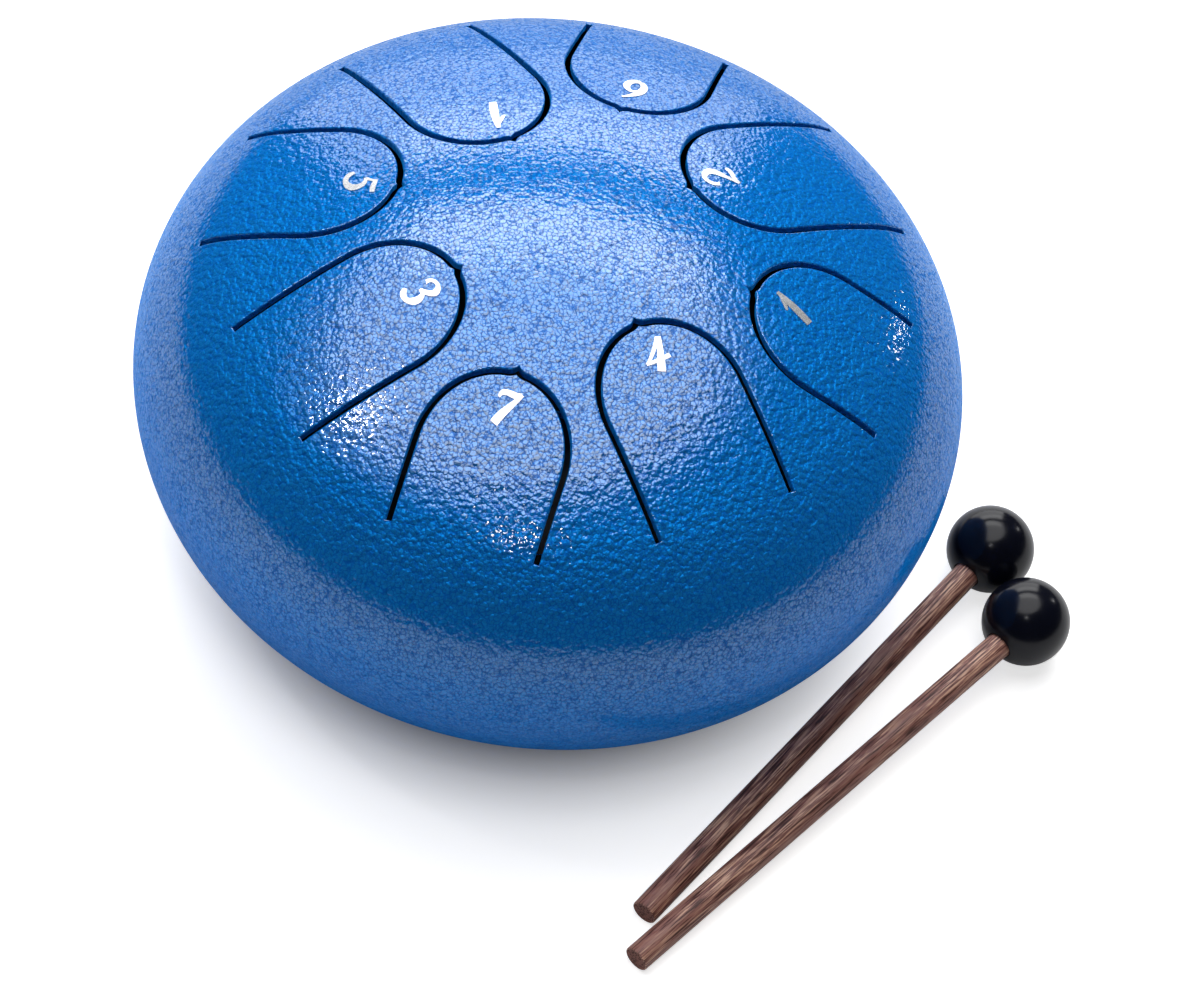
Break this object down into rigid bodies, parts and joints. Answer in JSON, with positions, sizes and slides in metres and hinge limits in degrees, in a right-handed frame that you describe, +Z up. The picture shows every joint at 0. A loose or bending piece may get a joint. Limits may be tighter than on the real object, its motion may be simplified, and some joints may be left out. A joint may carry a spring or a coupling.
{
  "type": "steel tongue drum",
  "caption": "Round steel drum of two welded shells with numbered tongues slotted into its dome, a sound hole and screwed rubber feet below, and a pair of rubber-headed wooden mallets.",
  "frame": {"origin": "on the table, under the middle of the drum and mallets taken together", "axes": "+Z up, along the drum's axis, -Y towards the player, +X to the side where the mallets lie"},
  "size_m": [0.1794, 0.1744, 0.0861],
  "materials": {
    "enamel": "hammered blue stoving enamel, gloss",
    "foil": "mirror-silver foil",
    "weld_steel": "bare weld bead",
    "foot_rubber": "moulded matt",
    "zinc_steel": "zinc plated",
    "dark_wood": "turned, open grain, unvarnished",
    "ball_rubber": "smooth gloss"
  },
  "bodies": {
    "drum": {"upper_shell": "enamel", "lower_shell": "enamel", "seam_weld": "weld_steel", "foot_1": "foot_rubber", "foot_2": "foot_rubber", "foot_3": "foot_rubber", "foot_washers": "zinc_steel", "foot_screws": "zinc_steel", "foot_nuts": "zinc_steel"},
    "struck_1_low": {"tongue_1_low": "enamel", "numeral_1_low": "foil"},
    "struck_6": {"tongue_6": "enamel", "numeral_6": "foil"},
    "struck_2": {"tongue_2": "enamel", "numeral_2": "foil"},
    "struck_1_high": {"tongue_1_high": "enamel", "numeral_1_high": "foil"},
    "struck_4": {"tongue_4": "enamel", "numeral_4": "foil"},
    "struck_7": {"tongue_7": "enamel", "numeral_7": "foil"},
    "struck_3": {"tongue_3": "enamel", "numeral_3": "foil"},
    "struck_5": {"tongue_5": "enamel", "numeral_5": "foil"},
    "front_mallet": {"mallet_handle_front": "dark_wood", "mallet_head_front": "ball_rubber"},
    "rear_mallet": {"mallet_handle_rear": "dark_wood", "mallet_head_rear": "ball_rubber"}
  },
  "joints": [
    {"name": "flex_1_low", "type": "hinge", "parent": "drum", "child": "struck_1_low", "pos_m": [-0.0494, 0.06161, 0.06821], "axis": [0.8161, 0.5779, 0], "range_deg": [-0.5, 0.5], "stiffness_Nm_per_rad": 136.5},
    {"name": "flex_6", "type": "hinge", "parent": "drum", "child": "struck_6", "pos_m": [-0.00335, 0.072, 0.06826], "axis": [0.9857, -0.1685, 0], "range_deg": [-0.5, 0.5], "stiffness_Nm_per_rad": 179.7},
    {"name": "flex_2", "type": "hinge", "parent": "drum", "child": "struck_2", "pos_m": [0.03837, 0.04814, 0.06655], "axis": [0.5779, -0.8161, 0], "range_deg": [-0.5, 0.5], "stiffness_Nm_per_rad": 134.6},
    {"name": "flex_1_high", "type": "hinge", "parent": "drum", "child": "struck_1_high", "pos_m": [0.04687, 0.00089, 0.06837], "axis": [-0.1685, -0.9857, 0], "range_deg": [-0.5, 0.5], "stiffness_Nm_per_rad": 194},
    {"name": "flex_4", "type": "hinge", "parent": "drum", "child": "struck_4", "pos_m": [0.02017, -0.03664, 0.07013], "axis": [-0.8161, -0.5779, 0], "range_deg": [-0.5, 0.5], "stiffness_Nm_per_rad": 153.3},
    {"name": "flex_7", "type": "hinge", "parent": "drum", "child": "struck_7", "pos_m": [-0.02409, -0.04936, 0.06837], "axis": [-0.9857, 0.1685, 0], "range_deg": [-0.5, 0.5], "stiffness_Nm_per_rad": 188.6},
    {"name": "flex_3", "type": "hinge", "parent": "drum", "child": "struck_3", "pos_m": [-0.06211, -0.02301, 0.06978], "axis": [-0.5779, 0.8161, 0], "range_deg": [-0.5, 0.5], "stiffness_Nm_per_rad": 148},
    {"name": "flex_5", "type": "hinge", "parent": "drum", "child": "struck_5", "pos_m": [-0.07681, 0.02203, 0.06642], "axis": [0.1685, 0.9857, 0], "range_deg": [-0.5, 0.5], "stiffness_Nm_per_rad": 167.5},
    {"name": "lift_front_mallet", "type": "slide", "parent": "drum", "child": "front_mallet", "axis": [0.166, -0.1045, 0.9806], "range_m": [0, 0.12]},
    {"name": "lift_rear_mallet", "type": "slide", "parent": "drum", "child": "rear_mallet", "axis": [0.166, -0.1045, 0.9806], "range_m": [0, 0.12]}
  ]
}
